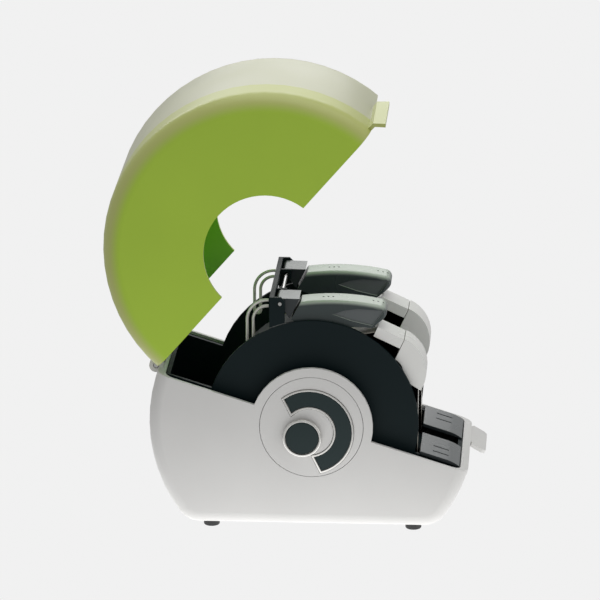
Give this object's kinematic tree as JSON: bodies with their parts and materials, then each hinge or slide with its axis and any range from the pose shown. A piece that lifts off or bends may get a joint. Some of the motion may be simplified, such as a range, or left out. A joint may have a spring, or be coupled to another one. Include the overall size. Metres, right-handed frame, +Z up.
{
  "type": "tape dispenser",
  "caption": "Drum-shaped desk tape dispenser with a hinged half-drum lid, covered tape lanes, cutter heads and a hand wheel on the side.",
  "frame": {"origin": "centre of the base's flat underside, straight below the drum axis", "axes": "+Z up, +X towards the exit heads, +Y from the hand wheel's side to the other"},
  "size_m": [0.2356, 0.1138, 0.2792],
  "materials": {
    "white_plastic": "satin moulded, faint grain",
    "lime_plastic": "translucent, satin",
    "black_plastic": "fine moulded grain",
    "dark_inlay": "satin",
    "smoke_plastic": "smoky, polished",
    "clear_plastic": "clear, polished",
    "chrome": "bright plated",
    "steel": "bright drawn",
    "rubber": "matte",
    "grey_plastic": "satin",
    "felt": "pressed felt",
    "tape_film": "thin clear film, wound"
  },
  "bodies": {
    "base": {"base_shell": "white_plastic", "inner_liner": "black_plastic", "ballast_plate": "steel", "foot_1": "rubber", "foot_2": "rubber", "foot_3": "rubber", "foot_4": "rubber", "liner_screw_1": "steel", "liner_screw_2": "steel", "liner_screw_3": "steel", "liner_screw_4": "steel", "hinge_pin": "steel", "bridge": "black_plastic", "cover_pin": "steel", "centre_housing": "black_plastic", "exit_head_front": "smoke_plastic", "exit_head_rear": "smoke_plastic", "cutter_blade_front": "steel", "cutter_blade_rear": "steel", "guide_front": "clear_plastic", "guide_rear": "clear_plastic", "guide_sleeve_front": "clear_plastic", "guide_sleeve_rear": "clear_plastic", "wire_guard_front": "chrome", "wire_guard_rear": "chrome", "axle_bushing_front": "grey_plastic", "axle_bushing_rear": "grey_plastic", "felt_washer_front": "felt", "felt_washer_rear": "felt", "tape_strand_front": "tape_film", "tape_strand_rear": "tape_film", "drive_belt": "rubber"},
    "lid": {"lid": "lime_plastic"},
    "wheel": {"hand_wheel": "white_plastic", "crescent_rim": "chrome", "crescent_inlay": "dark_inlay", "axle": "steel", "drive_pulley": "grey_plastic", "thumb_stud": "steel"},
    "thumb": {"thumb_knob": "dark_inlay", "thumb_rim": "chrome"},
    "feed": {"feed_shaft": "steel", "feed_pulley": "grey_plastic", "feed_roller_front": "rubber", "feed_roller_rear": "rubber"},
    "spool_front": {"spool_front": "grey_plastic", "tape_roll_front": "tape_film"},
    "spool_rear": {"spool_rear": "grey_plastic", "tape_roll_rear": "tape_film"},
    "cover_front": {"roll_cover_front": "smoke_plastic", "cover_wedge_front": "smoke_plastic"},
    "cover_rear": {"roll_cover_rear": "smoke_plastic", "cover_wedge_rear": "smoke_plastic"}
  },
  "joints": [
    {"name": "lid_hinge", "type": "hinge", "parent": "base", "child": "lid", "pos_m": [-0.09736, 0, 0.09782], "axis": [0, -1, 0], "range_deg": [-66.5, 23]},
    {"name": "wheel_turn", "type": "hinge", "parent": "base", "child": "wheel", "pos_m": [0, -0.055, 0.0645], "axis": [0, -1, 0], "continuous": true},
    {"name": "thumb_turn", "type": "hinge", "parent": "wheel", "child": "thumb", "pos_m": [-0.0056, -0.057, 0.0582], "axis": [0, -1, 0], "continuous": true},
    {"name": "feed_turn", "type": "hinge", "parent": "base", "child": "feed", "pos_m": [0.0576, 0, 0.0235], "axis": [0, -1, 0], "continuous": true},
    {"name": "spool_front_turn", "type": "hinge", "parent": "base", "child": "spool_front", "pos_m": [0, -0.0335, 0.0645], "axis": [0, -1, 0], "continuous": true},
    {"name": "spool_rear_turn", "type": "hinge", "parent": "base", "child": "spool_rear", "pos_m": [0, 0.0335, 0.0645], "axis": [0, -1, 0], "continuous": true},
    {"name": "cover_front_lift", "type": "hinge", "parent": "base", "child": "cover_front", "pos_m": [-0.02, -0.0335, 0.14082], "axis": [0, -1, 0], "range_deg": [0, 50]},
    {"name": "cover_rear_lift", "type": "hinge", "parent": "base", "child": "cover_rear", "pos_m": [-0.02, 0.0335, 0.14082], "axis": [0, -1, 0], "range_deg": [0, 50]}
  ],
  "couplings": [
    {"joint": "feed_turn", "follows": "wheel_turn", "ratio": 2.8571}
  ]
}
